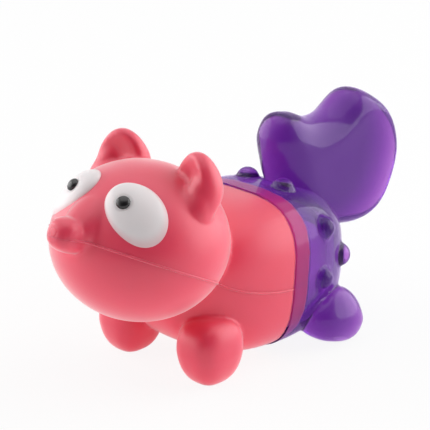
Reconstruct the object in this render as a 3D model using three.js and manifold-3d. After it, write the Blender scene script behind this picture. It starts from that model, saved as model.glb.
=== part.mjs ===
// Fox dog toy: a coral rubber front bonded from an upper and a lower shell, a clear purple rear with
// the hind legs and the tail, domed eyes, and a squeaker pressed into the belly.
// Millimetres, +Z up. The fox faces -Y, its left side is +X, and its four soles stand on z = 0.
import * as THREE from 'three';
import { mergeVertices } from 'three/addons/utils/BufferGeometryUtils.js';
import Module from 'manifold-3d';

const wasm = await Module();
wasm.setup();

const vec = (x, y, z) => new THREE.Vector3(x, y, z);
const radians = THREE.MathUtils.degToRad;

// Fits and walls
const fitGap = 0.3;
const frontWall = 4;
const cupWall = 2;
const cupThickWall = 4;
const cupProud = 0.3;
const spigotLength = 7.4;

// Barrel: the rounded-square body that the front and the rear share
const barrelWidth = 45.8;
const barrelHeight = 42.6;
const barrelLength = 65.2;
const barrelFrontY = 4;
const bellyRise = 1.1;
const barrelSectionPower = 3.2;
const barrelEndPower = 2.35;
const barrelRearY = barrelFrontY + barrelLength;
const barrelCentreZ = bellyRise + barrelHeight / 2;

// Joint between front and rear: a plane that leans forwards at the bottom
const frontLength = 32;
const rimLean = radians(5);
const rimY = barrelFrontY + frontLength;

// Head: a ball that is a little wider than tall, over y = 0
const headWidth = 49.2;
const headLength = 47;
const headHeight = 42.4;
const headRise = 16.6;
const headPlace = vec(0, 0, barrelCentreZ + headRise);
const faceY = headPlace.y - headLength / 2;
const crownZ = headPlace.z + headHeight / 2;

// Muzzle and brow: an egg that runs up from the nose between the eyes
const muzzleSize = vec(15, 27, 13.4);
const muzzleBehindFace = 10;
const muzzleBelowCrown = 11.4;
const muzzlePitch = radians(19);
const muzzlePlace = vec(0, faceY + muzzleBehindFace, crownZ - muzzleBelowCrown);

// Nose: a small blunt knob
const noseSize = vec(9.4, 11.2, 9.2);
const nosePower = 2.4;
const noseReach = 1.1;
const noseBelowCrown = 13.2;
const nosePitch = radians(-24);
const nosePlace = vec(0, faceY - noseReach, crownZ - noseBelowCrown);

// Ears: thick leaves, dished in front, whose foot bends forwards; the outer edge is rolled and ends in a lobe
const earWidth = 16.4;
const earHeight = 19.6;
const earThickness = 12.4;
const earTaper = 0.135;
const earThickTaper = 0.21;
const earInset = 10.6;
const earSetback = 7.9;
const earBelowCrown = 5.2;
const earTip = vec(0, -0.31, 1);
const earFacing = vec(-0.18, -1, 0);
const earFootBend = vec(4.1, -10, 0);
const earBendFrom = 0.3;
const earHollowWidth = 12.6;
const earHollowHeight = 18;
const earHollowOutwards = 0.2;
const earHollowDrop = 1;
const earHollowDepth = 3.8;
const earRollSize = vec(7.6, 8.6, 16.4);
const earRollInset = 6.2;
const earRollSetback = 5.5;
const earRollBelowCrown = 6.5;
const earRollFootTaper = -0.3;
const earRollUp = vec(-2.4, 6, 11);
const earRollFacing = vec(0, -11, 6);
const earPlace = vec(headWidth / 2 - earInset, earSetback, crownZ - earBelowCrown);
const earRollPlace = vec(headWidth / 2 - earRollInset, earRollSetback, crownZ - earRollBelowCrown);

// Eyes: each is sunk into the head where its aim from the head's middle comes out
const eyeWidth = 17.4;
const eyeHeight = 22.6;
const eyeDepth = 10.4;
const eyeTaper = -0.1;
const eyeAim = vec(10.7, -10, 10.1);
const eyeUp = vec(-1.25, 0, 1);
const eyeSink = 4.15;
const eyeSeatDepth = 1.5;
const pupilSize = vec(3.8, 3.6, 2.2);
const pupilAim = vec(-2.8, -6.1, 9.6);

// Parting line of the two front shells, seen from the side: y from the head, z above head or barrel middle
const seamOverHead = [[-60, 21], [-34, 10.4], [-21.5, 6.3], [5.4, -7.2]];
const seamOverBarrel = [[18, 2.4], [36, -1.4], [70, -3.4]];
const seamPoints = [
  ...seamOverHead.map(([y, rise]) => [y, headPlace.z + rise]),
  ...seamOverBarrel.map(([y, rise]) => [y, barrelCentreZ + rise]),
];

// Fore legs and hind legs: stub paws with flat soles; each hind leg has a flat slope on its inner side
const soleCut = 0.7;
const pawPower = 2.6;
const forePawSize = vec(15.4, 17.4, 19);
const forePawTaper = 0.24;
const forePawInset = 7.5;
const forePawSetback = 6.8;
const hindPawSize = vec(15.2, 20.4, 15.8);
const hindPawTopTaper = 0.35;
const hindPawInset = 2.7;
const hindPawFromRear = 15.4;
const hindPawPitch = radians(18);
const hindSlopeFacing = vec(-0.73, -0.29, 0.62);
const hindSlopeFromMiddle = 3.4;

// Nubs on the rear: domes aimed from the middle of the cup, on both sides
const nubRadius = 3.4;
const nubRise = 2.8;
const cupMiddleBehindRim = 13.4;
const nubAims = [vec(7.6, -1.6, 22.6), vec(19, 0.6, 11.2), vec(22.4, -1.7, -1.8), vec(19.3, 11.2, 0.8)];
const cupMiddle = vec(0, rimY + cupMiddleBehindRim, barrelCentreZ);

// Tail: a slab with flat sides and round edges, on a heart-like outline in the middle plane, whose points
// are y and z from the barrel's rear end; its front lobe is rounded further in
const tailThickness = 16;
const tailRounding = 7.6;
const tailFrontRounding = 11;
const tailFrontWay = vec(0, -0.66, 0.75);
const tailFrontSpan = 14;
const tailEdgePower = 2.2;
const tailMiddle = [4.8, 21.6];
const tailPoints = [[-20.8, 26.6], [-21.6, 33.6], [-17.8, 39.2], [-12.4, 39.2], [-4.8, 36.2], [3.2, 36.4],
  [13.8, 40.8], [25, 33.2], [29, 20.6], [24, 7.4], [15.4, 1.8], [2.8, 2.6], [-9.2, 9.6], [-18, 18.6]];

// Squeaker in the belly
const squeakerFromRim = 9.4;
const squeakerRadius = 5.5;
const squeakerHeight = 8;
const squeakerRecess = 1.7;
const squeakerWall = 1.2;
const squeakerPortRadius = 1.5;
const squeakerClearance = 0.15;
const bossWall = 2;
const bossHeight = 5;
const reedSeat = 3;
const reedThickness = 0.4;
const reedSlotWidth = 0.6;
const reedTongueWidth = 3;
const reedTongueLength = 5;
const capThickness = 1.2;
const capVentRadius = 0.7;
const capVentCircle = 2.4;
const capVentCount = 5;

// Facets of the round forms, around and along
const headFacets = [28, 18];
const barrelFacets = [28, 16];
const hollowFacets = [20, 12];
const eggFacets = [18, 12];
const tailFacets = [36, 16];
const tailOutlineSteps = 84;
const noseFacets = [16, 10];
const earFacets = [20, 14];
const smallFacets = [12, 8];
const nubFacets = [10, 6];
const roundFacets = 20;
const seamSteps = 24;
const reachAll = 300;

// Solids

function solid(geometry) {
  const bare = geometry.clone();
  bare.deleteAttribute('normal');
  bare.deleteAttribute('uv');
  const merged = mergeVertices(bare);
  return new wasm.Manifold(new wasm.Mesh({
    numProp: 3,
    vertProperties: new Float32Array(merged.attributes.position.array),
    triVerts: new Uint32Array(merged.index.array),
  }));
}

function geometryOf(manifold) {
  const mesh = manifold.getMesh();
  const geometry = new THREE.BufferGeometry();
  geometry.setAttribute('position', new THREE.BufferAttribute(new Float32Array(mesh.vertProperties), 3));
  geometry.setIndex(new THREE.BufferAttribute(new Uint32Array(mesh.triVerts), 1));
  geometry.computeVertexNormals();
  return geometry;
}

const unturned = new THREE.Matrix4();
const pitch = (angle) => new THREE.Matrix4().makeRotationX(angle);
const grown = (size, by) => vec(size.x + 2 * by, size.y + 2 * by, size.z + 2 * by);
const mirrored = (v, side) => vec(v.x * side, v.y, v.z);

// An egg of the given size; its poles lie on its Y axis. A power over 2 squares it off, foot and top tapers
// draw in its lower and upper half along Z, and a width taper makes it wider towards +Y.
function egg(size, place, turn, facets, { power = 2, footTaper = 0, topTaper = 0, widthTaper = 0 } = {}) {
  const geometry = new THREE.SphereGeometry(1, ...facets);
  const position = geometry.attributes.position;
  const point = vec(0, 0, 0);
  for (let i = 0; i < position.count; i++) {
    point.fromBufferAttribute(position, i);
    const fill = Math.abs(point.x) ** power + Math.abs(point.y) ** power + Math.abs(point.z) ** power;
    point.multiplyScalar(fill ** (-1 / power));
    const draw = 1 + footTaper * Math.min(point.z, 0) - topTaper * Math.max(point.z, 0);
    point.set(point.x * draw * (1 + widthTaper * point.y), point.y * draw, point.z);
    position.setXYZ(i, (point.x * size.x) / 2, (point.y * size.y) / 2, (point.z * size.z) / 2);
  }
  geometry.applyMatrix4(turn);
  geometry.translate(place.x, place.y, place.z);
  return solid(geometry);
}

// How far an egg of the given size reaches from its middle along a direction in its own axes
const reachOf = (size, way) => 0.5 / Math.hypot(way.x / size.x, way.y / size.y, way.z / size.z);

// Turn whose local X, Y and Z are across, up the given way, and out along the facing direction
function facingTurn(up, facing) {
  const out = facing.clone().normalize();
  const across = new THREE.Vector3().crossVectors(up, out).normalize();
  return new THREE.Matrix4().makeBasis(across, new THREE.Vector3().crossVectors(out, across), out);
}

const barrelMiddleY = (barrelFrontY + barrelRearY) / 2;

// The barrel with its surface moved outwards by offset: a ball pulled towards a rounded square
function barrel(offset, facets = barrelFacets) {
  const geometry = new THREE.SphereGeometry(1, ...facets);
  const position = geometry.attributes.position;
  const pull = (value) => Math.sign(value) * Math.abs(value) ** (2 / barrelEndPower);
  for (let i = 0; i < position.count; i++) {
    const ring = Math.hypot(position.getX(i), position.getZ(i));
    const angle = Math.atan2(position.getZ(i), position.getX(i));
    const across = Math.cos(angle);
    const tall = Math.sin(angle);
    const round = Math.abs(across) ** barrelSectionPower + Math.abs(tall) ** barrelSectionPower;
    const reach = pull(ring) * round ** (-1 / barrelSectionPower);
    position.setXYZ(
      i,
      (barrelWidth / 2 + offset) * reach * across,
      barrelMiddleY + (barrelLength / 2 + offset) * pull(position.getY(i)),
      barrelCentreZ + (barrelHeight / 2 + offset) * reach * tall,
    );
  }
  return solid(geometry);
}

// How full of the barrel a point is: 1 on the surface moved outwards by offset, less inside
function barrelFill(point, offset) {
  const across = Math.abs(point.x / (barrelWidth / 2 + offset)) ** barrelSectionPower;
  const tall = Math.abs((point.z - barrelCentreZ) / (barrelHeight / 2 + offset)) ** barrelSectionPower;
  const along = Math.abs((point.y - barrelMiddleY) / (barrelLength / 2 + offset)) ** barrelEndPower;
  return (across + tall) ** (barrelEndPower / barrelSectionPower) + along;
}

// Everything behind the rim plane, which is set back by offset along the leaning body axis
function behindRim(offset) {
  const geometry = new THREE.BoxGeometry(reachAll, reachAll, reachAll);
  geometry.translate(0, reachAll / 2 + offset, 0);
  geometry.rotateX(-rimLean);
  geometry.translate(0, rimY, barrelCentreZ);
  return solid(geometry);
}

// Everything above the parting line, moved up by rise
function aboveSeam(rise) {
  const line = new THREE.SplineCurve(seamPoints.map(([y, z]) => new THREE.Vector2(y, z + rise)));
  const shape = new THREE.Shape(line.getPoints(seamSteps));
  shape.lineTo(seamPoints.at(-1)[0], reachAll);
  shape.lineTo(seamPoints[0][0], reachAll);
  shape.closePath();
  const geometry = new THREE.ExtrudeGeometry(shape, { depth: reachAll, bevelEnabled: false });
  geometry.translate(0, 0, -reachAll / 2);
  geometry.applyMatrix4(new THREE.Matrix4().makeBasis(vec(0, 1, 0), vec(0, 0, 1), vec(1, 0, 0)));
  return solid(geometry);
}

function belowFloor() {
  const geometry = new THREE.BoxGeometry(reachAll, reachAll, reachAll);
  geometry.translate(0, 0, -reachAll / 2);
  return solid(geometry);
}

function upright(radius, bottom, top, place) {
  const geometry = new THREE.CylinderGeometry(radius, radius, top - bottom, roundFacets);
  geometry.rotateX(Math.PI / 2);
  geometry.translate(place.x, place.y, (top + bottom) / 2);
  return solid(geometry);
}

// Head and eyes

const headSize = vec(headWidth, headLength, headHeight);
const headBall = (offset, facets = hollowFacets) => egg(grown(headSize, offset), headPlace, unturned, facets);

const eyeSize = vec(eyeWidth, eyeHeight, eyeDepth);
const eyeTurn = (side) => facingTurn(mirrored(eyeUp, side), mirrored(eyeAim, side));

function eyePlace(side) {
  const way = mirrored(eyeAim, side).normalize();
  return headPlace.clone().addScaledVector(way, reachOf(headSize, way) - eyeSink);
}

function eyeBall(side, offset) {
  return egg(grown(eyeSize, offset), eyePlace(side), eyeTurn(side), eggFacets, { widthTaper: eyeTaper });
}

// The pupil sits where its aim from the eye's middle comes out, square to the eye's surface
function pupilBall(side, offset) {
  const turn = eyeTurn(side);
  const local = mirrored(pupilAim, side).applyMatrix4(turn.clone().invert()).normalize();
  const onEye = local.multiplyScalar(reachOf(eyeSize, local));
  const outwards = vec(onEye.x / eyeSize.x ** 2, onEye.y / eyeSize.y ** 2, onEye.z / eyeSize.z ** 2);
  const pupilTurn = facingTurn(vec(0, 0, 1), outwards.applyMatrix4(turn));
  const place = onEye.applyMatrix4(turn).add(eyePlace(side));
  return egg(grown(pupilSize, offset), place, pupilTurn, smallFacets);
}

function eye(side) {
  return eyeBall(side, 0).subtract(headBall(-eyeSeatDepth)).subtract(pupilBall(side, fitGap));
}

const eyeSocket = (side) => eyeBall(side, fitGap).subtract(headBall(-eyeSeatDepth - fitGap));

// Ears and legs

// The leaf of an ear narrows and thins towards its tip
function earLeaf(side) {
  const turn = facingTurn(mirrored(earTip, side), mirrored(earFacing, side));
  const geometry = new THREE.SphereGeometry(1, ...earFacets);
  const position = geometry.attributes.position;
  for (let i = 0; i < position.count; i++) {
    const high = position.getY(i);
    const point = vec(
      (position.getX(i) * earWidth * (1 - earTaper * high)) / 2,
      (high * earHeight) / 2,
      (position.getZ(i) * earThickness * (1 - earThickTaper * high)) / 2,
    );
    const across = (point.x - side * earHollowOutwards) / (earHollowWidth / 2);
    const spread = Math.hypot(across, (point.y + earHollowDrop) / (earHollowHeight / 2));
    if (position.getZ(i) > 0 && spread < 1) {
      point.z -= earHollowDepth * (1 - spread ** 2);
    }
    const bend = (Math.max(earBendFrom - high, 0) / (1 + earBendFrom)) ** 2;
    point.applyMatrix4(turn).add(mirrored(earPlace, side));
    point.addScaledVector(mirrored(earFootBend, side), bend);
    position.setXYZ(i, point.x, point.y, point.z);
  }
  return solid(geometry);
}

function ear(side) {
  const turn = facingTurn(earRollFacing, mirrored(earRollUp, side));
  const place = mirrored(earRollPlace, side);
  return earLeaf(side).add(egg(earRollSize, place, turn, smallFacets, { footTaper: earRollFootTaper }));
}

function forePaw(side) {
  const standing = forePawSize.z / 2 - soleCut;
  const place = vec(side * (barrelWidth / 2 - forePawInset), barrelFrontY + forePawSetback, standing);
  return egg(forePawSize, place, unturned, eggFacets, { power: pawPower, footTaper: forePawTaper });
}

function hindPaw(side) {
  const down = vec(0, 0, -1).applyMatrix4(pitch(hindPawPitch));
  const power = pawPower / (pawPower - 1);
  const reach = Math.abs(down.y * hindPawSize.y) ** power + Math.abs(down.z * hindPawSize.z) ** power;
  const depth = reach ** (1 / power) / 2;
  const place = vec(side * (barrelWidth / 2 - hindPawInset), barrelRearY - hindPawFromRear, depth - soleCut);
  const whole = egg(hindPawSize, place, pitch(-hindPawPitch), eggFacets, {
    power: pawPower,
    topTaper: hindPawTopTaper,
  });
  const kept = mirrored(hindSlopeFacing, side).normalize().negate();
  return whole.trimByPlane(kept.toArray(), kept.dot(place) - hindSlopeFromMiddle);
}

// Squeaker

const squeakerBottom = bellyRise + squeakerRecess;
const squeakerPlace = vec(0, rimY - squeakerFromRim, squeakerBottom);
const reedLevel = squeakerBottom + reedSeat;
const insertRadius = squeakerRadius - squeakerWall - squeakerClearance;

function squeakerBody() {
  const inner = squeakerRadius - squeakerWall;
  const ledge = inner - squeakerWall;
  const profile = [
    [squeakerPortRadius, 0], [squeakerRadius, 0], [squeakerRadius, squeakerHeight], [inner, squeakerHeight],
    [inner, reedSeat], [ledge, reedSeat], [ledge, squeakerWall], [squeakerPortRadius, squeakerWall],
    [squeakerPortRadius, 0],
  ].map(([r, z]) => new THREE.Vector2(r, z));
  const geometry = new THREE.LatheGeometry(profile, roundFacets);
  geometry.rotateX(Math.PI / 2);
  geometry.translate(squeakerPlace.x, squeakerPlace.y, squeakerPlace.z);
  return solid(geometry);
}

function disc(thickness, level, holes) {
  const shape = new THREE.Shape();
  shape.absarc(0, 0, insertRadius, 0, 2 * Math.PI, false);
  shape.holes.push(...holes);
  const options = { depth: thickness, bevelEnabled: false, curveSegments: roundFacets / 2 };
  const geometry = new THREE.ExtrudeGeometry(shape, options);
  geometry.translate(squeakerPlace.x, squeakerPlace.y, level);
  return solid(geometry);
}

// The reed's slot runs round three sides of its tongue
function reedSlot() {
  const inner = reedTongueWidth / 2;
  const outer = inner + reedSlotWidth;
  const tip = reedTongueLength / 2;
  const corners = [[-outer, -tip], [-inner, -tip], [-inner, tip], [inner, tip], [inner, -tip], [outer, -tip],
    [outer, tip + reedSlotWidth], [-outer, tip + reedSlotWidth]];
  return new THREE.Path(corners.map(([x, y]) => new THREE.Vector2(x, y)));
}

function ventHoles() {
  const holes = [];
  for (let i = 0; i < capVentCount; i++) {
    const angle = (2 * Math.PI * i) / capVentCount;
    const hole = new THREE.Path();
    const middle = new THREE.Vector2(capVentCircle, 0).rotateAround(new THREE.Vector2(), angle);
    hole.absarc(middle.x, middle.y, capVentRadius, 0, 2 * Math.PI);
    holes.push(hole);
  }
  return holes;
}

const squeakerReed = () => disc(reedThickness, reedLevel, [reedSlot()]);
const squeakerCap = () => disc(capThickness, reedLevel + reedThickness, ventHoles());

// Front: head, muzzle, nose, ears, fore legs and the coral half of the barrel with its spigot

function front() {
  const sides = [1, -1];
  const spigot = barrel(-cupWall - fitGap).subtract(behindRim(spigotLength));
  const trunk = barrel(0).subtract(behindRim(0)).add(spigot);
  let body = headBall(0, headFacets).add(trunk);
  body = body.add(egg(muzzleSize, muzzlePlace, pitch(muzzlePitch), eggFacets));
  body = body.add(egg(noseSize, nosePlace, pitch(nosePitch), noseFacets, { power: nosePower }));
  for (const side of sides) {
    body = body.add(ear(side)).add(forePaw(side));
  }
  body = body.subtract(headBall(-frontWall)).subtract(barrel(-frontWall, hollowFacets));
  const bossTop = squeakerBottom + frontWall + bossHeight;
  const holeRadius = squeakerRadius + fitGap;
  body = body.add(upright(holeRadius + bossWall, 0, bossTop, squeakerPlace).intersect(trunk));
  body = body.subtract(upright(holeRadius, -reachAll, bossTop + fitGap, squeakerPlace));
  for (const side of sides) {
    body = body.subtract(eyeSocket(side));
  }
  return body.subtract(belowFloor());
}

// Rear: the clear cup over the spigot, with hind legs, nubs and tail in one moulding

// How far a point of the middle plane is from the tail's outline
function outlineGap(outline, point) {
  const nearest = vec(0, 0, 0);
  let gap = Infinity;
  for (let i = 0; i < outline.length; i++) {
    const edge = new THREE.Line3(outline[i], outline[(i + 1) % outline.length]);
    gap = Math.min(gap, edge.closestPointToPoint(point, true, nearest).distanceTo(point));
  }
  return gap;
}

function tail() {
  const curve = new THREE.CatmullRomCurve3(tailPoints.map(([y, z]) => vec(0, y, z)), true, 'catmullrom');
  const outline = [];
  for (let i = 0; i < tailOutlineSteps; i++) {
    outline.push(curve.getPoint(i / tailOutlineSteps));
  }
  const geometry = new THREE.SphereGeometry(1, ...tailFacets);
  const position = geometry.attributes.position;
  const uv = geometry.attributes.uv;
  const middle = vec(0, ...tailMiddle);
  for (let i = 0; i < position.count; i++) {
    const height = position.getY(i);
    const edge = curve.getPoint((1 - uv.getX(i)) % 1);
    const point = middle.clone().lerp(edge, Math.sqrt(Math.max(0, 1 - height * height)));
    const lean = point.clone().sub(middle).dot(tailFrontWay) / tailFrontSpan;
    const rounding = THREE.MathUtils.lerp(tailRounding, tailFrontRounding, THREE.MathUtils.clamp(lean, 0, 1));
    const fall = 1 - Math.min(outlineGap(outline, point) / rounding, 1);
    const swell = (1 - fall ** tailEdgePower) ** (1 / tailEdgePower);
    const side = Math.sign(height) * (tailThickness / 2) * swell;
    position.setXYZ(i, side, barrelRearY + point.y, barrelCentreZ + point.z);
  }
  return solid(geometry);
}

// The nub stands on the cup's surface where its aim from the cup's middle comes out
function nub(aim, side) {
  const way = mirrored(aim, side).normalize();
  let inside = 0;
  let outside = barrelLength;
  while (outside - inside > fitGap / 100) {
    const half = (inside + outside) / 2;
    if (barrelFill(cupMiddle.clone().addScaledVector(way, half), cupProud) < 1) {
      inside = half;
    } else {
      outside = half;
    }
  }
  const place = cupMiddle.clone().addScaledVector(way, inside + nubRise - nubRadius);
  return egg(grown(vec(0, 0, 0), nubRadius), place, unturned, nubFacets);
}

function rear() {
  let body = barrel(cupProud).add(tail());
  for (const side of [1, -1]) {
    body = body.add(hindPaw(side));
    for (const aim of nubAims) {
      body = body.add(nub(aim, side));
    }
  }
  const socket = barrel(-cupWall).subtract(behindRim(spigotLength + fitGap));
  body = body.subtract(socket).subtract(barrel(-cupThickWall, hollowFacets));
  return body.intersect(behindRim(fitGap)).subtract(belowFloor());
}

// Assembly

const coral = { color: 0xea6580, roughness: 0.5, metalness: 0 };
const clearPurple = { color: 0x6b3a94, roughness: 0.15, metalness: 0, transparent: true, opacity: 0.6 };
const white = { color: 0xece6e4, roughness: 0.35, metalness: 0 };
const black = { color: 0x141214, roughness: 0.2, metalness: 0 };
const squeakerPlastic = { color: 0xe6e2da, roughness: 0.45, metalness: 0 };

function add(group, name, manifold, finish) {
  const mesh = new THREE.Mesh(geometryOf(manifold), new THREE.MeshStandardMaterial(finish));
  mesh.name = name;
  group.add(mesh);
}

const toy = new THREE.Group();
const frontBody = front();
add(toy, 'upper_shell', frontBody.intersect(aboveSeam(fitGap / 2)), coral);
add(toy, 'lower_shell', frontBody.subtract(aboveSeam(-fitGap / 2)), coral);
add(toy, 'rear_shell', rear(), clearPurple);
add(toy, 'eye_left', eye(1), white);
add(toy, 'eye_right', eye(-1), white);
add(toy, 'pupil_left', pupilBall(1, 0), black);
add(toy, 'pupil_right', pupilBall(-1, 0), black);
add(toy, 'squeaker_body', squeakerBody(), squeakerPlastic);
add(toy, 'squeaker_reed', squeakerReed(), squeakerPlastic);
add(toy, 'squeaker_cap', squeakerCap(), squeakerPlastic);

// The origin is on the floor under the middle of the toy
const box = new THREE.Box3().setFromObject(toy);
const middle = box.getCenter(vec(0, 0, 0));
toy.position.set(-middle.x, -middle.y, -box.min.z);
toy.updateMatrixWorld(true);

export default toy;
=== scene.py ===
import math

import bmesh
import bpy
from mathutils import Matrix, Vector
from mathutils.bvhtree import BVHTree


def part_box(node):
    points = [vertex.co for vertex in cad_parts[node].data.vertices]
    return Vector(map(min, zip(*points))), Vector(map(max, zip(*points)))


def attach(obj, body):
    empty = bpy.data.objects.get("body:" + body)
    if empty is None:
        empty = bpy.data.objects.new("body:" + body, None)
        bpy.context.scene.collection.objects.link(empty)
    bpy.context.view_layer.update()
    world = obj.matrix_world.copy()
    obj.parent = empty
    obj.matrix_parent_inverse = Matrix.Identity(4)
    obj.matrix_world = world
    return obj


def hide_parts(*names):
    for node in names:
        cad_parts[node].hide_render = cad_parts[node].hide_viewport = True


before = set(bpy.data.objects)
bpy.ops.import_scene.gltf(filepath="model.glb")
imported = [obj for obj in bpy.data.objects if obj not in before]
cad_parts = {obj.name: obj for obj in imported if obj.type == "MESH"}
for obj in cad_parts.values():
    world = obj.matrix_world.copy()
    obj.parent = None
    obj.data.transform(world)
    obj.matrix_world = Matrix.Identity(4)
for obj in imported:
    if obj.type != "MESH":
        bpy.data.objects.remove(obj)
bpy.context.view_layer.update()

mm = 0.001
far = 0.2  # longer than the toy, for the tools that cut it
sliver = 2e-6  # shorter edges are leftovers of a cut
weld = 1e-7  # points closer than this are one point
onPlane = 1e-8  # points closer than this to a cutting plane lie on it
smoothFactor = 0.5  # how far one round of smoothing moves a point
puffSegments = (64, 40)
ballSegments = (48, 32)
rodSegments = 48
sides = {"left": 1, "right": -1}
squeakerSetback = 26.6  # from the middle of the head to the squeaker in the belly
headY = sum(corner.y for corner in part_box("squeaker_body")) / 2 - squeakerSetback * mm
print("frame loaded, head middle at y", round(headY, 5))


# Small helpers
# Plain lengths are in mm, turns in degrees; places count from the floor under the head's middle

def size(x, y, z):
    return Vector((x, y, z)) * mm


def allRound(length):
    return size(length, length, length)


def place(x, y, z):
    return Vector((x * mm, y * mm + headY, z * mm))


def unit(value):
    return min(max(value, 0), 1)


def mirrored(v, side):
    return Vector((v.x * side, v.y, v.z))


def facingTurn(up, facing):
    out = facing.normalized()
    across = up.cross(out).normalized()
    return Matrix((across, out.cross(across), out)).transposed().to_4x4()


def pitchTurn(degrees):
    return Matrix.Rotation(math.radians(degrees), 4, "X")


def signedPower(value, power):
    return math.copysign(abs(value) ** power, value)


def catmullRom(points, steps, closed):
    line = []
    count = len(points)
    spans = count if closed else count - 1
    for i in range(spans):
        around = [i - 1, i, i + 1, i + 2]
        if closed:
            p0, p1, p2, p3 = (Vector(points[k % count]) for k in around)
        else:
            p0, p1, p2, p3 = (Vector(points[min(max(k, 0), count - 1)]) for k in around)
        for s in range(steps):
            t = s / steps
            ease = (p2 - p0) * t + (2 * p0 - 5 * p1 + 4 * p2 - p3) * t * t
            line.append(p1 + 0.5 * (ease + (3 * p1 - p0 - 3 * p2 + p3) * t ** 3))
    if not closed:
        line.append(Vector(points[-1]))
    return line


# Meshes and pieces

def addBall(bm, segments):
    around, high = segments
    return bmesh.ops.create_uvsphere(bm, u_segments=around, v_segments=high, radius=1)["verts"]


def addPuff(
        bm, extent, middle, turn=Matrix(), power=2.0, taper=0.0, topTaper=0.0, segments=puffSegments):
    verts = addBall(bm, segments)
    for v in verts:
        fill = sum(abs(c) ** power for c in v.co)
        v.co *= fill ** (-1 / power)
        narrow = 1 + taper * min(v.co.z, 0) - topTaper * max(v.co.z, 0)  # foot and top draw in
        v.co.x *= narrow
        v.co.y *= narrow
    move = Matrix.Translation(middle) @ turn @ Matrix.Diagonal((extent / 2).to_4d())
    move[3][3] = 1
    bmesh.ops.transform(bm, matrix=move, verts=verts)
    return verts


def tidyNormals(bm):
    bmesh.ops.remove_doubles(bm, verts=bm.verts, dist=weld)
    bmesh.ops.recalc_face_normals(bm, faces=bm.faces)


def linkObject(name, data):
    linked = bpy.data.objects.new(name, data)
    bpy.context.scene.collection.objects.link(linked)
    return linked


def newObject(name, bm):
    mesh = bpy.data.meshes.new(name)
    bm.to_mesh(mesh)
    bm.free()
    return linkObject(name, mesh)


def bakeModifiers(piece):
    graph = bpy.context.evaluated_depsgraph_get()
    mesh = bpy.data.meshes.new_from_object(piece.evaluated_get(graph))
    old = piece.data
    piece.modifiers.clear()
    piece.data = mesh
    bpy.data.meshes.remove(old)
    mesh.name = piece.name


def carve(piece, tool, operation):
    cut = piece.modifiers.new("carve", "BOOLEAN")
    cut.operation = operation
    cut.solver = "MANIFOLD"
    cut.object = tool
    bakeModifiers(piece)
    mesh = tool.data
    bpy.data.objects.remove(tool)
    bpy.data.meshes.remove(mesh)


def dropSlivers(piece):
    bm = bmesh.new()
    bm.from_mesh(piece.data)
    bmesh.ops.triangulate(bm, faces=bm.faces)
    bmesh.ops.remove_doubles(bm, verts=bm.verts, dist=sliver)
    bmesh.ops.dissolve_degenerate(bm, edges=bm.edges, dist=sliver)
    loose = [f for f in bm.faces if all(len(e.link_faces) == 2 for e in f.edges)
             and len({g for e in f.edges for g in e.link_faces}) == 2]  # two faces back to back
    bmesh.ops.delete(bm, geom=loose, context="FACES")
    bm.to_mesh(piece.data)
    bm.free()


def surfaceOf(piece):
    bm = bmesh.new()
    bm.from_mesh(piece.data)
    surface = BVHTree.FromBMesh(bm)
    bm.free()
    return surface


def cutOff(bm, point, normal):
    bmesh.ops.bisect_plane(
        bm, geom=bm.verts[:] + bm.edges[:] + bm.faces[:], dist=onPlane,
        plane_co=point, plane_no=normal, clear_outer=True)
    rim = [e for e in bm.edges if e.is_boundary]
    bmesh.ops.holes_fill(bm, edges=rim, sides=0)
    bmesh.ops.recalc_face_normals(bm, faces=bm.faces)
    return rim


def addSmooth(piece, rounds):
    soften = piece.modifiers.new("soften", "SMOOTH")
    soften.factor = smoothFactor
    soften.iterations = rounds
    return soften


def shadeSmooth(piece, angle):
    piece.data.shade_smooth()
    piece.data.set_sharp_from_angle(angle=math.radians(angle))


def settle(piece, material, slot, *nodes):
    piece.data.materials.clear()
    piece.data.materials.append(material)
    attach(piece, "root")
    if nodes:
        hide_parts(*nodes)
    print(piece.name, "has", len(piece.data.polygons), "faces")


# Camera, as the photograph sees the toy

camera = {
    "from": place(361.0, -334.1, 229.7),
    "to": place(0, 28.17, 38.48),
    "focalPixels": 2000,
    "imagePixels": 430,
    "sensor": 36,
    "clip": (0.01, 20),
}


def makeCamera():
    data = bpy.data.cameras.new("camera")
    data.sensor_width = camera["sensor"]
    data.lens = camera["focalPixels"] / camera["imagePixels"] * camera["sensor"]
    data.clip_start, data.clip_end = camera["clip"]
    view = linkObject("camera", data)
    view.location = camera["from"]
    look = camera["to"] - camera["from"]
    view.rotation_euler = look.to_track_quat("-Z", "Y").to_euler()
    bpy.context.scene.camera = view


makeCamera()
print("camera placed")


# Materials

def newMaterial(name):
    material = bpy.data.materials.new(name)
    material.use_nodes = True
    tree = material.node_tree
    tree.nodes.clear()
    return material, tree, tree.nodes.new("ShaderNodeOutputMaterial")


mould = {"Grain": 3.0, "Patches": 2.0}  # detail of each layer


def makeMouldGrain():
    group = bpy.data.node_groups.new("mouldGrain", "ShaderNodeTree")
    for way, labels in (("INPUT", ("Scale", "Patch Scale")), ("OUTPUT", ("Grain", "Patches"))):
        for label in labels:
            group.interface.new_socket(label, in_out=way, socket_type="NodeSocketFloat")
    nodes, links = group.nodes, group.links
    start = nodes.new("NodeGroupInput")
    end = nodes.new("NodeGroupOutput")
    coords = nodes.new("ShaderNodeTexCoord")
    for label, source in (("Grain", "Scale"), ("Patches", "Patch Scale")):
        noise = nodes.new("ShaderNodeTexNoise")
        noise.inputs["Detail"].default_value = mould[label]
        links.new(coords.outputs["Object"], noise.inputs["Vector"])
        links.new(start.outputs[source], noise.inputs["Scale"])
        links.new(noise.outputs["Fac"], end.inputs[label])
    return group


mouldGrain = makeMouldGrain()


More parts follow.
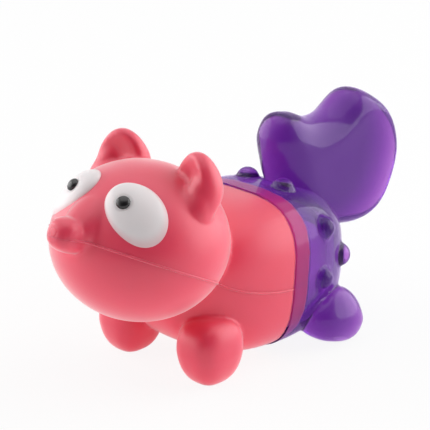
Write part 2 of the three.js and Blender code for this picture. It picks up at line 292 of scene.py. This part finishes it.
def rangeNode(tree, source, low, high, span=(0, 1), kind="LINEAR"):
    node = tree.nodes.new("ShaderNodeMapRange")
    node.interpolation_type = kind
    for socket, value in zip(("From Min", "From Max", "To Min", "To Max"), (*span, low, high)):
        node.inputs[socket].default_value = value
    tree.links.new(source, node.inputs["Value"])
    return node.outputs["Result"]


def mixNode(tree, factor, first, second):
    node = tree.nodes.new("ShaderNodeMix")
    node.data_type = "RGBA"
    node.inputs["A"].default_value = (*first, 1)
    node.inputs["B"].default_value = (*second, 1)
    tree.links.new(factor, node.inputs["Factor"])
    return node.outputs["Result"]


def makeMoulded(name, finish):
    material, tree, output = newMaterial(name)
    shader = tree.nodes.new("ShaderNodeBsdfPrincipled")
    tree.links.new(shader.outputs["BSDF"], output.inputs["Surface"])
    grain = tree.nodes.new("ShaderNodeGroup")
    grain.node_tree = mouldGrain
    grain.inputs["Scale"].default_value = finish["grainScale"]
    grain.inputs["Patch Scale"].default_value = finish["patchScale"]
    patches = grain.outputs["Patches"]
    tree.links.new(mixNode(tree, patches, *finish["colours"]), shader.inputs["Base Color"])
    tree.links.new(rangeNode(tree, patches, *finish["roughness"]), shader.inputs["Roughness"])
    bump = tree.nodes.new("ShaderNodeBump")
    bump.inputs["Strength"].default_value = finish["bump"]
    bump.inputs["Distance"].default_value = finish["bumpHeight"]
    tree.links.new(grain.outputs["Grain"], bump.inputs["Height"])
    tree.links.new(bump.outputs["Normal"], shader.inputs["Normal"])
    for socket, value in finish["fixed"].items():
        shader.inputs[socket].default_value = value
    return material


coralFinish = {
    "colours": ((0.81, 0.043, 0.096), (0.85, 0.054, 0.116)),
    "roughness": (0.36, 0.46),
    "grainScale": 1500,
    "patchScale": 60,
    "bump": 0.25,
    "bumpHeight": 0.05 * mm,
    "fixed": {
        "IOR": 1.6,
        "Subsurface Weight": 0.25,
        "Subsurface Radius": (1.0, 0.22, 0.18),
        "Subsurface Scale": 3 * mm,
        "Sheen Weight": 0.85,
        "Sheen Roughness": 0.36,
    },
}

purpleFinish = {
    "colours": ((0.80, 0.43, 0.88), (0.84, 0.49, 0.90)),
    "roughness": (0.02, 0.05),
    "grainScale": 260,
    "patchScale": 50,
    "bump": 0.08,
    "bumpHeight": 0.08 * mm,
    "fixed": {
        "IOR": 1.11,
        "Transmission Weight": 0.975,
        "Coat Weight": 0.55,
        "Coat Roughness": 0.1,
        "Coat IOR": 1.42,
        "Sheen Weight": 0.42,
        "Sheen Roughness": 0.6,
        "Sheen Tint": (0.42, 0.1, 0.85, 1),
    },
    "absorbColour": (0.457, 0.02, 0.665),
    "absorbDensity": 200,
}

eyeFinish = {
    "colours": ((0.86, 0.80, 0.81), (0.91, 0.85, 0.86)),
    "roughness": (0.30, 0.38),
    "grainScale": 1200,
    "patchScale": 120,
    "bump": 0.1,
    "bumpHeight": 0.03 * mm,
    "fixed": {
        "IOR": 1.46,
        "Subsurface Weight": 0.1,
        "Subsurface Radius": (1.0, 0.6, 0.6),
        "Subsurface Scale": 1 * mm,
    },
    "rimColour": (0.78, 0.36, 0.40),
    "rimHeight": 0.5,
    "rimStrength": 0.5,
}

pupilFinish = {
    "colours": ((0.010, 0.009, 0.010), (0.018, 0.016, 0.017)),
    "roughness": (0.18, 0.26),
    "grainScale": 1500,
    "patchScale": 300,
    "bump": 0.1,
    "bumpHeight": 0.03 * mm,
    "fixed": {"IOR": 1.5},
}

squeakerFinish = {
    "colours": ((0.74, 0.71, 0.66), (0.80, 0.77, 0.72)),
    "roughness": (0.38, 0.5),
    "grainScale": 2000,
    "patchScale": 200,
    "bump": 0.1,
    "bumpHeight": 0.03 * mm,
    "fixed": {"IOR": 1.48},
}


def tintRim(material):
    tree = material.node_tree
    rise = tree.nodes.new("ShaderNodeAttribute")  # mm over the head, whose coral tints the white
    rise.attribute_name = "rise"
    span = (0, eyeFinish["rimHeight"])
    fade = rangeNode(tree, rise.outputs["Fac"], eyeFinish["rimStrength"], 0, span, "SMOOTHSTEP")
    colour = tree.nodes["Principled BSDF"].inputs["Base Color"]
    tint = tree.nodes.new("ShaderNodeMix")
    tint.data_type = "RGBA"
    tint.inputs["B"].default_value = (*eyeFinish["rimColour"], 1)
    tree.links.new(fade, tint.inputs["Factor"])
    tree.links.new(colour.links[0].from_socket, tint.inputs["A"])
    tree.links.new(tint.outputs["Result"], colour)


def deepen(material):
    tree = material.node_tree
    absorb = tree.nodes.new("ShaderNodeVolumeAbsorption")  # thick rubber is darker
    absorb.inputs["Color"].default_value = (*purpleFinish["absorbColour"], 1)
    absorb.inputs["Density"].default_value = purpleFinish["absorbDensity"]
    tree.links.new(absorb.outputs["Volume"], tree.nodes["Material Output"].inputs["Volume"])


coral = makeMoulded("coralRubber", coralFinish)
black = makeMoulded("blackPupil", pupilFinish)
natural = makeMoulded("squeakerPlastic", squeakerFinish)
white = makeMoulded("whiteEye", eyeFinish)
tintRim(white)
purple = makeMoulded("clearPurple", purpleFinish)
deepen(purple)
print("materials made")


# Barrel, shared by the coral front and the clear rear

barrel = {
    "size": size(45.8, 65.2, 42.6),
    "middle": place(0, 36.6, 22.4),
    "sectionPower": 3.2,
    "endPower": 2.35,
    "rimMiddle": place(0, 36, 22.4),
    "rimLean": 5,
    "segments": (96, 64),
}


def addBarrel(bm, offset):
    half = barrel["size"] / 2 + allRound(offset)
    power = barrel["sectionPower"]
    for v in addBall(bm, barrel["segments"]):
        ring = math.hypot(v.co.x, v.co.y)
        angle = math.atan2(v.co.y, v.co.x)
        across, tall = math.cos(angle), math.sin(angle)
        square = (abs(across) ** power + abs(tall) ** power) ** (-1 / power)
        reach = signedPower(ring, 2 / barrel["endPower"]) * square
        along = signedPower(v.co.z, 2 / barrel["endPower"])
        local = Vector((half.x * reach * across, half.y * along, half.z * reach * tall))
        v.co = barrel["middle"] + local
    bmesh.ops.recalc_face_normals(bm, faces=bm.faces)


rimTurn = pitchTurn(-barrel["rimLean"])
rimNormal = rimTurn.to_3x3() @ Vector((0, 1, 0))


def cutBarrel(offset, behindRim):
    bm = bmesh.new()
    addBarrel(bm, offset)
    cutOff(bm, barrel["rimMiddle"] + rimNormal * behindRim * mm, rimNormal)
    return bm


# Coral front: head, muzzle, nose, ears, fore paws and the front of the barrel

head = {"size": size(49.2, 47, 42.4), "middle": place(0, 0, 39), "segments": (96, 64)}
muzzle = {
    "size": size(15, 27, 13.4),
    "middle": place(0, -13.5, 48.8),
    "pitch": 19,
    "blendMiddle": place(7, -15.5, 45),
    "blendRadius": 7 * mm,
    "blendRounds": 60,
}
nose = {"size": size(9.4, 11.2, 9.2), "middle": place(0, -24.6, 47), "pitch": -24, "power": 2.4}
ear = {
    "size": size(16.4, 19.6, 12.4),
    "middle": place(14, 7.9, 55),
    "tip": Vector((0, -0.31, 1)),
    "facing": Vector((-0.18, -1, 0)),
    "taper": 0.135,
    "thickTaper": 0.21,
    "footBend": size(1.8, -10, 0),
    "bendFrom": 0.3,
    "hollow": size(13.6, 18, 3.6),
    "hollowMiddle": size(-0.6, 0.4, 0),
    "hollowFrom": -0.2,
    "rollSize": size(7.6, 8.6, 16.4),
    "rollMiddle": place(17.7, 5.5, 53.7),
    "rollUp": Vector((-2.4, 6, 11)),
    "rollFacing": Vector((0, -11, 6)),
    "rollTaper": -0.3,
    "blendMiddle": place(14.2, 3.4, 54),
    "blendRadius": 8.5 * mm,
    "blendRounds": 80,
    "segments": (64, 48),
}
forePaw = {
    "size": size(15.4, 17.4, 19),
    "middle": place(15.4, 10.8, 8.8),
    "power": 2.7,
    "taper": 0.17,
}
shell = {
    "wall": 4,
    "cupWall": 2,
    "spigot": 7.4,
    "bond": 0.2,
    "voxel": 0.5 * mm,
    "smoothing": 5,
    "shadeAngle": 50,
}


def addEar(bm, side):
    half = ear["size"] / 2
    bowl = ear["hollow"] / 2
    turn = facingTurn(mirrored(ear["tip"], side), mirrored(ear["facing"], side)).to_3x3()
    deepest = mirrored(ear["hollowMiddle"], side)
    for v in addBall(bm, ear["segments"]):
        high = v.co.z
        wide = half.x * (1 - ear["taper"] * high)
        thick = half.z * (1 - ear["thickTaper"] * high)
        local = Vector((v.co.x * wide, high * half.y, v.co.y * thick))
        spread = math.hypot((local.x - deepest.x) / bowl.x, (local.y - deepest.y) / bowl.y)
        if local.z > thick * ear["hollowFrom"] and spread < 1:
            local.z -= ear["hollow"].z * (1 - spread ** 2)
        bend = (max(ear["bendFrom"] - high, 0) / (1 + ear["bendFrom"])) ** 2
        v.co = mirrored(ear["middle"] + ear["footBend"] * bend, side) + turn @ local
    rollTurn = facingTurn(ear["rollFacing"], mirrored(ear["rollUp"], side))
    addPuff(bm, ear["rollSize"], mirrored(ear["rollMiddle"], side), rollTurn, taper=ear["rollTaper"])


def fuse(form, voxel, rounds):
    remesh = form.modifiers.new("fuse", "REMESH")
    remesh.mode = "VOXEL"
    remesh.voxel_size = voxel
    addSmooth(form, rounds)
    bakeModifiers(form)


def blendSpots(form, spot):  # smooths more round a spot on both sides, to fillet it
    group = form.vertex_groups.new(name="blend")
    for v in form.data.vertices:
        near = min((v.co - mirrored(spot["blendMiddle"], side)).length for side in sides.values())
        if near < spot["blendRadius"]:
            group.add([v.index], 1 - near / spot["blendRadius"], "REPLACE")
    addSmooth(form, spot["blendRounds"]).vertex_group = group.name
    bakeModifiers(form)
    form.vertex_groups.clear()


def makeFrontForm():
    bm = cutBarrel(0, 0)
    spigot = cutBarrel(shell["bond"] - shell["cupWall"], shell["spigot"])
    spare = bpy.data.meshes.new("spigot")
    spigot.to_mesh(spare)
    spigot.free()
    bm.from_mesh(spare)
    bpy.data.meshes.remove(spare)
    addPuff(bm, head["size"], head["middle"], segments=head["segments"])
    addPuff(bm, muzzle["size"], muzzle["middle"], pitchTurn(muzzle["pitch"]))
    addPuff(bm, nose["size"], nose["middle"], pitchTurn(nose["pitch"]), nose["power"])
    for side in sides.values():
        addEar(bm, side)
        middle = mirrored(forePaw["middle"], side)
        addPuff(bm, forePaw["size"], middle, power=forePaw["power"], taper=forePaw["taper"])
    bmesh.ops.recalc_face_normals(bm, faces=bm.faces)
    form = newObject("frontForm", bm)
    fuse(form, shell["voxel"], shell["smoothing"])
    for spot in (muzzle, ear):
        blendSpots(form, spot)
    return form


def ballTool(extent, middle):
    bm = bmesh.new()
    addPuff(bm, extent, middle, segments=ballSegments)
    tidyNormals(bm)
    return newObject("tool", bm)


def barrelTool(offset):
    bm = bmesh.new()
    addBarrel(bm, offset)
    tidyNormals(bm)
    return newObject("tool", bm)


def boxTool(low, high, turn=Matrix(), middle=Vector()):
    bm = bmesh.new()
    made = bmesh.ops.create_cube(bm, size=1)["verts"]
    move = Matrix.Translation(middle) @ turn @ Matrix.Translation((low + high) / 2)
    bmesh.ops.transform(bm, matrix=move @ Matrix.Diagonal((*(high - low), 1)), verts=made)
    return newObject("tool", bm)


def rodTool(radius, bottom, top, middle):
    bm = bmesh.new()
    made = bmesh.ops.create_cone(
        bm, cap_ends=True, segments=rodSegments, radius1=radius, radius2=radius,
        depth=top - bottom)["verts"]
    bmesh.ops.translate(bm, vec=Vector((middle.x, middle.y, (top + bottom) / 2)), verts=made)
    return newObject("tool", bm)


def trimFloor(piece):
    carve(piece, boxTool(Vector((-far, -far, -far)), Vector((far, far, 0))), "DIFFERENCE")


# Ring mark of the mould's gate on the nose

gate = {"radius": 1.3 * mm, "groove": 0.16 * mm, "segments": (48, 12)}


def ringTool(middle, turn):
    bm = bmesh.new()
    around, across = gate["segments"]
    hoop = bmesh.ops.create_circle(bm, segments=across, radius=gate["groove"])["verts"]
    upright = Matrix.Translation((gate["radius"], 0, 0)) @ pitchTurn(90)
    bmesh.ops.transform(bm, matrix=upright, verts=hoop)
    bmesh.ops.spin(
        bm, geom=bm.verts[:] + bm.edges[:], cent=(0, 0, 0), axis=(0, 0, 1), angle=2 * math.pi,
        steps=around, use_merge=True)
    bmesh.ops.transform(bm, matrix=Matrix.Translation(middle) @ turn, verts=bm.verts)
    tidyNormals(bm)
    return newObject("tool", bm)


def markGate(form):
    ahead = pitchTurn(nose["pitch"]).to_3x3() @ Vector((0, -1, 0))
    tip = surfaceOf(form).ray_cast(nose["middle"] + ahead * far, -ahead)[0]
    carve(form, ringTool(tip, facingTurn(Vector((0, 0, 1)), ahead)), "DIFFERENCE")


frontForm = makeFrontForm()
markGate(frontForm)
trimFloor(frontForm)
print("front form has", len(frontForm.data.polygons), "faces")


# Parting line of the two coral shells

seam = {
    "points": [(-60, 60), (-34, 49.4), (-21.5, 45.3), (5.4, 31.8), (18, 24.8), (36, 21), (70, 19)],
    "steps": 16,
    "gap": 0.03,
    "flashRadius": 0.3 * mm,
    "flashFrom": -27.6,
    "flashTo": 35.6,
    "flashSteps": 260,
    "flashRounding": 2,
}
seamLine = catmullRom(seam["points"], seam["steps"], False)


def seamHeight(y):
    for first, second in zip(seamLine, seamLine[1:]):
        if first.x <= y <= second.x:
            share = (y - first.x) / (second.x - first.x)
            return first.y + (second.y - first.y) * share
    return seamLine[-1].y


def seamTool(rise):
    bm = bmesh.new()
    edge = [bm.verts.new(place(0, p.x, p.y + rise) - Vector((far, 0, 0))) for p in seamLine]
    top = [bm.verts.new(Vector((-far, v.co.y, far))) for v in (edge[-1], edge[0])]
    face = bm.faces.new(edge + top)
    made = bmesh.ops.extrude_face_region(bm, geom=[face])["geom"]
    moved = [g for g in made if isinstance(g, bmesh.types.BMVert)]
    bmesh.ops.translate(bm, vec=Vector((2 * far, 0, 0)), verts=moved)
    bmesh.ops.recalc_face_normals(bm, faces=bm.faces)
    return newObject("tool", bm)


def wireObject(name, points):
    data = bpy.data.curves.new(name, "CURVE")
    data.dimensions = "3D"
    data.bevel_depth = seam["flashRadius"]
    data.bevel_resolution = seam["flashRounding"]
    data.use_fill_caps = True
    spline = data.splines.new("POLY")
    spline.points.add(len(points) - 1)
    for target, point in zip(spline.points, points):
        target.co = (*point, 1)
    wire = linkObject("wire", data)
    graph = bpy.context.evaluated_depsgraph_get()
    mesh = bpy.data.meshes.new_from_object(wire.evaluated_get(graph))
    bpy.data.objects.remove(wire)
    bpy.data.curves.remove(data)
    return linkObject(name, mesh)


def makeFlash(form):
    surface = surfaceOf(form)
    loop = {side: [] for side in sides.values()}
    for i in range(seam["flashSteps"]):
        share = (i / (seam["flashSteps"] - 1)) ** 2  # steps are shortest on the nose
        y = seam["flashFrom"] + (seam["flashTo"] - seam["flashFrom"]) * share
        for side in loop:
            start = place(0, y, seamHeight(y)) + Vector((side * far, 0, 0))
            hit = surface.ray_cast(start, Vector((-side, 0, 0)))[0]
            if hit is not None:
                loop[side].append(hit)
    return wireObject("seam_flash", loop[sides["left"]][::-1] + loop[sides["right"]])


# Hollow of the front, with the squeaker's boss in the belly

squeaker = {
    "middle": place(0, squeakerSetback, 0),
    "bore": 5.8 * mm,
    "bossWall": 2 * mm,
    "bossFrom": 4 * mm,
    "bossTo": 11.8 * mm,
}


def hollowFront(form):
    inside = head["size"] - allRound(2 * shell["wall"])
    carve(form, ballTool(inside, head["middle"]), "DIFFERENCE")
    carve(form, barrelTool(-shell["wall"]), "DIFFERENCE")
    bossRadius = squeaker["bore"] + squeaker["bossWall"]
    boss = rodTool(bossRadius, squeaker["bossFrom"], squeaker["bossTo"], squeaker["middle"])
    carve(form, boss, "UNION")
    bore = rodTool(squeaker["bore"], -far, squeaker["bossTo"] + mm, squeaker["middle"])
    carve(form, bore, "DIFFERENCE")


flash = makeFlash(frontForm)
hollowFront(frontForm)
upperShell = linkObject("upper_shell_visual", frontForm.data.copy())
carve(upperShell, seamTool(seam["gap"]), "INTERSECT")
lowerShell = frontForm
lowerShell.name = "lower_shell_visual"
carve(lowerShell, seamTool(0), "DIFFERENCE")
for piece, node in ((upperShell, "upper_shell"), (lowerShell, "lower_shell")):
    dropSlivers(piece)
    shadeSmooth(piece, shell["shadeAngle"])
    settle(piece, coral, "coral_rubber", node)
flash.data.shade_smooth()
settle(flash, coral, "coral_rubber")
print("coral shells made")


# Clear rear: cup, tail, hind paws and nubs

rear = {
    "proud": 0.3,
    "wall": 2,
    "fit": -0.05,
    "socket": 7.7,
    "thickWall": 4,
    "voxel": 0.45 * mm,
    "smoothing": 9,
    "shadeAngle": 32,
}
tail = {
    "points": [
        (48.4, 49), (47.6, 56), (51.4, 61.6), (56.8, 61.6), (64.4, 58.6), (72.4, 58.8), (83, 63.2),
        (94.2, 55.6), (98.2, 43), (93.2, 29.8), (84.6, 24.2), (72, 25), (60, 32), (51.2, 41),
    ],
    "steps": 12,
    "middle": (74, 44),
    "thickness": 16,
    "rounding": 3.4,
    "frontRounding": 10.5,
    "frontWay": Vector((-0.66, 0.75)),
    "frontSpan": (0, 14),
    "power": 2.1,
    "dish": 0.25,
    "dishSpan": 7,
    "segments": (160, 64),
    "smoothing": 6,
}
hindPaw = {
    "size": size(15.2, 20.4, 15.8),
    "middle": place(20.2, 53.8, 7.9),
    "pitch": -18,
    "power": 2.6,
    "topTaper": 0.35,
    "creaseNormal": Vector((-0.73, -0.29, 0.62)),
    "creaseFromMiddle": 3.4 * mm,
    "creaseRounding": 0.8 * mm,
    "creaseSegments": 4,
}
nub = {
    "radius": 3.4,
    "rise": 2.8,
    "from": place(0, 49.4, 22.4),
    "aims": [(7.6, -1.6, 22.6), (19, 0.6, 11.2), (22.4, -1.7, -1.8), (19.3, 11.2, 0.8)],
    "tolerance": 1e-6,
}


def outlineGap(outline, point):
    gap = math.inf
    for first, second in zip(outline, outline[1:] + outline[:1]):
        along = second - first
        share = unit((point - first).dot(along) / along.length_squared)
        gap = min(gap, (point - first - along * share).length)
    return gap


def tailTool():
    outline = catmullRom(tail["points"], tail["steps"], True)
    bm = bmesh.new()
    middle = Vector(tail["middle"])
    start, end = tail["frontSpan"]
    for v in addBall(bm, tail["segments"]):
        turn = (math.atan2(v.co.y, v.co.x) / (2 * math.pi)) % 1 * len(outline)
        first = outline[int(turn) % len(outline)]
        second = outline[(int(turn) + 1) % len(outline)]
        edge = first.lerp(second, turn - int(turn))
        point = middle + (edge - middle) * math.hypot(v.co.x, v.co.y)
        lean = unit(((point - middle).dot(tail["frontWay"]) - start) / (end - start))
        rounding = tail["rounding"] + (tail["frontRounding"] - tail["rounding"]) * lean
        gap = outlineGap(outline, point)
        fall = 1 - min(gap / rounding, 1)
        thick = tail["thickness"] / 2 * (1 - fall ** tail["power"]) ** (1 / tail["power"])
        thick -= tail["dish"] * unit((gap - rounding) / tail["dishSpan"])
        v.co = place(math.copysign(thick, v.co.z), point.x, point.y)
    tidyNormals(bm)
    for i in range(tail["smoothing"]):
        bmesh.ops.smooth_vert(bm, verts=bm.verts, factor=smoothFactor, use_axis_x=True)
    return newObject("tool", bm)


def barrelFill(point, offset):
    half = barrel["size"] / 2 + allRound(offset)
    away = point - barrel["middle"]
    power = barrel["sectionPower"]
    section = abs(away.x / half.x) ** power + abs(away.z / half.z) ** power
    return section ** (barrel["endPower"] / power) + abs(away.y / half.y) ** barrel["endPower"]


def nubTool(aim, side):
    way = mirrored(Vector(aim), side).normalized()
    inside, outside = 0.0, barrel["size"].y
    while outside - inside > nub["tolerance"]:
        half = (inside + outside) / 2
        if barrelFill(nub["from"] + way * half, rear["proud"]) < 1:
            inside = half
        else:
            outside = half
    middle = nub["from"] + way * (inside + (nub["rise"] - nub["radius"]) * mm)
    return ballTool(size(2, 2, 2) * nub["radius"], middle)


def pawTool(side):
    bm = bmesh.new()
    middle = mirrored(hindPaw["middle"], side)
    addPuff(
        bm, hindPaw["size"], middle, pitchTurn(hindPaw["pitch"]), hindPaw["power"],
        topTaper=hindPaw["topTaper"])
    tidyNormals(bm)
    normal = mirrored(hindPaw["creaseNormal"], side).normalized()
    rim = cutOff(bm, middle + normal * hindPaw["creaseFromMiddle"], normal)
    bmesh.ops.bevel(
        bm, geom=rim, offset=hindPaw["creaseRounding"], affect="EDGES",
        segments=hindPaw["creaseSegments"], profile=0.5, material=-1, clamp_overlap=True)
    return newObject("tool", bm)


def makeRear():
    cup = barrelTool(rear["proud"])
    cup.name = "rear_shell_visual"
    for side in sides.values():
        carve(cup, pawTool(side), "UNION")
        for aim in nub["aims"]:
            carve(cup, nubTool(aim, side), "UNION")
    fuse(cup, rear["voxel"], rear["smoothing"])
    carve(cup, tailTool(), "UNION")
    carve(cup, newObject("tool", cutBarrel(-rear["wall"], rear["socket"])), "DIFFERENCE")
    carve(cup, barrelTool(-rear["thickWall"]), "DIFFERENCE")
    edge = Vector((far, rear["fit"] * mm, far))
    ahead = boxTool(Vector((-far, -far, -far)), edge, rimTurn, barrel["rimMiddle"])
    carve(cup, ahead, "DIFFERENCE")
    trimFloor(cup)
    return cup


rearShell = makeRear()
shadeSmooth(rearShell, rear["shadeAngle"])
settle(rearShell, purple, "clear_purple_rubber", "rear_shell")
print("clear rear made")


# Eyes and pupils

eye = {
    "size": size(17.4, 22.6, 10.4),
    "aim": Vector((10.7, -10, 10.1)),
    "up": Vector((-1.25, 0, 1)),
    "sink": 4.15,
    "seat": 1.5,
    "taper": -0.1,
    "dent": 0.12 * mm,
    "dentFrom": 1.1,
    "dentTo": 1.4,
    "segments": (192, 128),
    "shadeAngle": 40,
}
pupil = {
    "size": size(3.8, 3.6, 2.2),
    "aim": Vector((-2.8, -6.1, 9.6)),
    "segments": (48, 32),
    "shadeAngle": 60,
}


def reachOf(extent, way):  # from the middle of a ball to its skin
    return 0.5 / math.hypot(way.x / extent.x, way.y / extent.y, way.z / extent.z)


def eyeFrame(side):
    way = mirrored(eye["aim"], side).normalized()
    middle = head["middle"] + way * (reachOf(head["size"], way) - eye["sink"] * mm)
    return middle, facingTurn(mirrored(eye["up"], side), way)


def pupilFrame(side):
    middle, turn = eyeFrame(side)
    local = (turn.inverted().to_3x3() @ mirrored(pupil["aim"], side)).normalized()
    onEye = local * reachOf(eye["size"], local)
    outwards = Vector([c / e ** 2 for c, e in zip(onEye, eye["size"])])
    return middle + turn.to_3x3() @ onEye, facingTurn(Vector((0, 0, 1)), turn.to_3x3() @ outwards)


def dentEye(bm, side):
    spot, spotTurn = pupilFrame(side)
    inwards = -(spotTurn.to_3x3() @ Vector((0, 0, 1)))
    back = spotTurn.to_3x3().transposed()
    for v in bm.verts:
        local = back @ (v.co - spot)
        spread = math.hypot(local.x / pupil["size"].x, local.y / pupil["size"].y) * 2
        if spread < eye["dentTo"] and abs(local.z) < pupil["size"].z:
            share = min((eye["dentTo"] - spread) / (eye["dentTo"] - eye["dentFrom"]), 1)
            v.co += inwards * eye["dent"] * share * share * (3 - 2 * share)  # eased at both ends


def markRise(eyeball):
    rise = eyeball.data.attributes.new("rise", "FLOAT", "POINT")
    half = head["size"] / 2
    for v, mark in zip(eyeball.data.vertices, rise.data):
        away = v.co - head["middle"]
        fill = math.hypot(away.x / half.x, away.y / half.y, away.z / half.z)
        mark.value = (fill - 1) * away.length / fill / mm


def makeEye(node, side):
    middle, turn = eyeFrame(side)
    bm = bmesh.new()
    verts = addPuff(bm, eye["size"], Vector(), segments=eye["segments"])
    for v in verts:
        v.co.x *= 1 + eye["taper"] * v.co.y / (eye["size"].y / 2)
    bmesh.ops.transform(bm, matrix=Matrix.Translation(middle) @ turn, verts=verts)
    tidyNormals(bm)
    dentEye(bm, side)
    eyeball = newObject(node + "_visual", bm)
    socket = head["size"] - allRound(2 * eye["seat"])
    carve(eyeball, ballTool(socket, head["middle"]), "DIFFERENCE")
    markRise(eyeball)
    shadeSmooth(eyeball, eye["shadeAngle"])
    settle(eyeball, white, "white_eye", node)


def makePupil(node, side):
    spot, spotTurn = pupilFrame(side)
    bm = bmesh.new()
    addPuff(bm, pupil["size"], spot, spotTurn, segments=pupil["segments"])
    tidyNormals(bm)
    dot = newObject(node + "_visual", bm)
    shadeSmooth(dot, pupil["shadeAngle"])
    settle(dot, black, "black_pupil", node)


for label, side in sides.items():
    makeEye("eye_" + label, side)
    makePupil("pupil_" + label, side)
print("eyes made")


# Squeaker, shown as its solids with a moulded finish

for node in ("squeaker_body", "squeaker_reed", "squeaker_cap"):
    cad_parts[node].data.materials.clear()
    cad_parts[node].data.materials.append(natural)
print("squeaker finished")


# Stage: pale floor, white surroundings and soft lamps

stage = {
    "floorSize": 6,
    "floorColour": (0.96, 0.96, 0.96),
    "floorGlow": 0.9,
    "floorBounce": 0.15,
    "floorLift": 2.8,
    "worldLevel": 0.3,
    "darkSide": (0.66, -0.66, 0.35),
    "darkSpan": (0.4, 0.95),
    "darkLevels": (1.0, 0.04),
    "lampDistance": 0.9,
    "lampSize": 1.2,
    "lamps": {
        "leftSoft": {"way": (-0.85, -0.5, 0.16), "power": 8.2},
        "rightSoft": {"way": (0.5, 0.8, 0.32), "power": 9.2},
        "topSoft": {"way": (-0.1, 0.0, 1.0), "power": 3.3},
    },
    "glossBounces": 12,
    "clearBounces": 16,
    "allBounces": 20,
}


def seenRays(tree):
    path = tree.nodes.new("ShaderNodeLightPath")
    pick = tree.nodes.new("ShaderNodeMath")
    pick.operation = "MAXIMUM"
    tree.links.new(path.outputs["Is Camera Ray"], pick.inputs[0])
    tree.links.new(path.outputs["Is Transmission Ray"], pick.inputs[1])
    return pick.outputs["Value"]


def makeFloor():
    bm = bmesh.new()
    bmesh.ops.create_grid(bm, x_segments=1, y_segments=1, size=stage["floorSize"] / 2)
    floor = newObject("floor", bm)
    material, tree, output = newMaterial("paleFloor")
    dull = tree.nodes.new("ShaderNodeBsdfDiffuse")
    dull.inputs["Color"].default_value = (*stage["floorColour"], 1)
    glow = tree.nodes.new("ShaderNodeEmission")
    glow.inputs["Color"].default_value = (1, 1, 1, 1)
    mix = tree.nodes.new("ShaderNodeMixShader")
    seen = seenRays(tree)
    tree.links.new(rangeNode(tree, seen, stage["floorBounce"], stage["floorGlow"]), mix.inputs["Fac"])
    tree.links.new(rangeNode(tree, seen, stage["floorLift"], 1), glow.inputs["Strength"])
    tree.links.new(dull.outputs["BSDF"], mix.inputs[1])
    tree.links.new(glow.outputs["Emission"], mix.inputs[2])
    tree.links.new(mix.outputs["Shader"], output.inputs["Surface"])
    floor.data.materials.append(material)


def makeWorld():
    world = bpy.data.worlds.new("studio")
    bpy.context.scene.world = world
    world.use_nodes = True
    tree = world.node_tree
    back = tree.nodes["Background"]
    back.inputs["Color"].default_value = (1, 1, 1, 1)
    coords = tree.nodes.new("ShaderNodeTexCoord")
    turn = tree.nodes.new("ShaderNodeVectorMath")
    turn.operation = "DOT_PRODUCT"
    turn.inputs[1].default_value = Vector(stage["darkSide"]).normalized()
    tree.links.new(coords.outputs["Generated"], turn.inputs[0])
    full = rangeNode(  # the studio is darker on its open side
        tree, turn.outputs["Value"], *stage["darkLevels"], stage["darkSpan"], "SMOOTHSTEP")
    soft = tree.nodes.new("ShaderNodeMath")
    soft.operation = "MULTIPLY"
    soft.inputs[1].default_value = stage["worldLevel"]
    tree.links.new(full, soft.inputs[0])
    path = tree.nodes.new("ShaderNodeLightPath")
    mirrorMix = tree.nodes.new("ShaderNodeMix")  # only reflections see the full level
    tree.links.new(path.outputs["Is Glossy Ray"], mirrorMix.inputs["Factor"])
    tree.links.new(soft.outputs["Value"], mirrorMix.inputs["A"])
    tree.links.new(full, mirrorMix.inputs["B"])
    level = tree.nodes.new("ShaderNodeMath")
    level.operation = "MAXIMUM"
    tree.links.new(seenRays(tree), level.inputs[0])
    tree.links.new(mirrorMix.outputs["Result"], level.inputs[1])
    tree.links.new(level.outputs["Value"], back.inputs["Strength"])


def makeLamps():
    for name, lamp in stage["lamps"].items():
        data = bpy.data.lights.new(name, "AREA")
        data.shape = "DISK"
        data.size = stage["lampSize"]
        data.energy = lamp["power"]
        light = linkObject(name, data)
        way = Vector(lamp["way"]).normalized()
        light.location = camera["to"] + way * stage["lampDistance"]
        light.rotation_euler = (-way).to_track_quat("-Z", "Y").to_euler()


def setBounces(cycles):  # light turns many times inside the clear rubber
    cycles.glossy_bounces = stage["glossBounces"]
    cycles.transmission_bounces = stage["clearBounces"]
    cycles.max_bounces = stage["allBounces"]


makeFloor()
makeWorld()
makeLamps()
setBounces(bpy.context.scene.cycles)
bpy.context.scene.view_settings.view_transform = "Standard"
print("stage set")
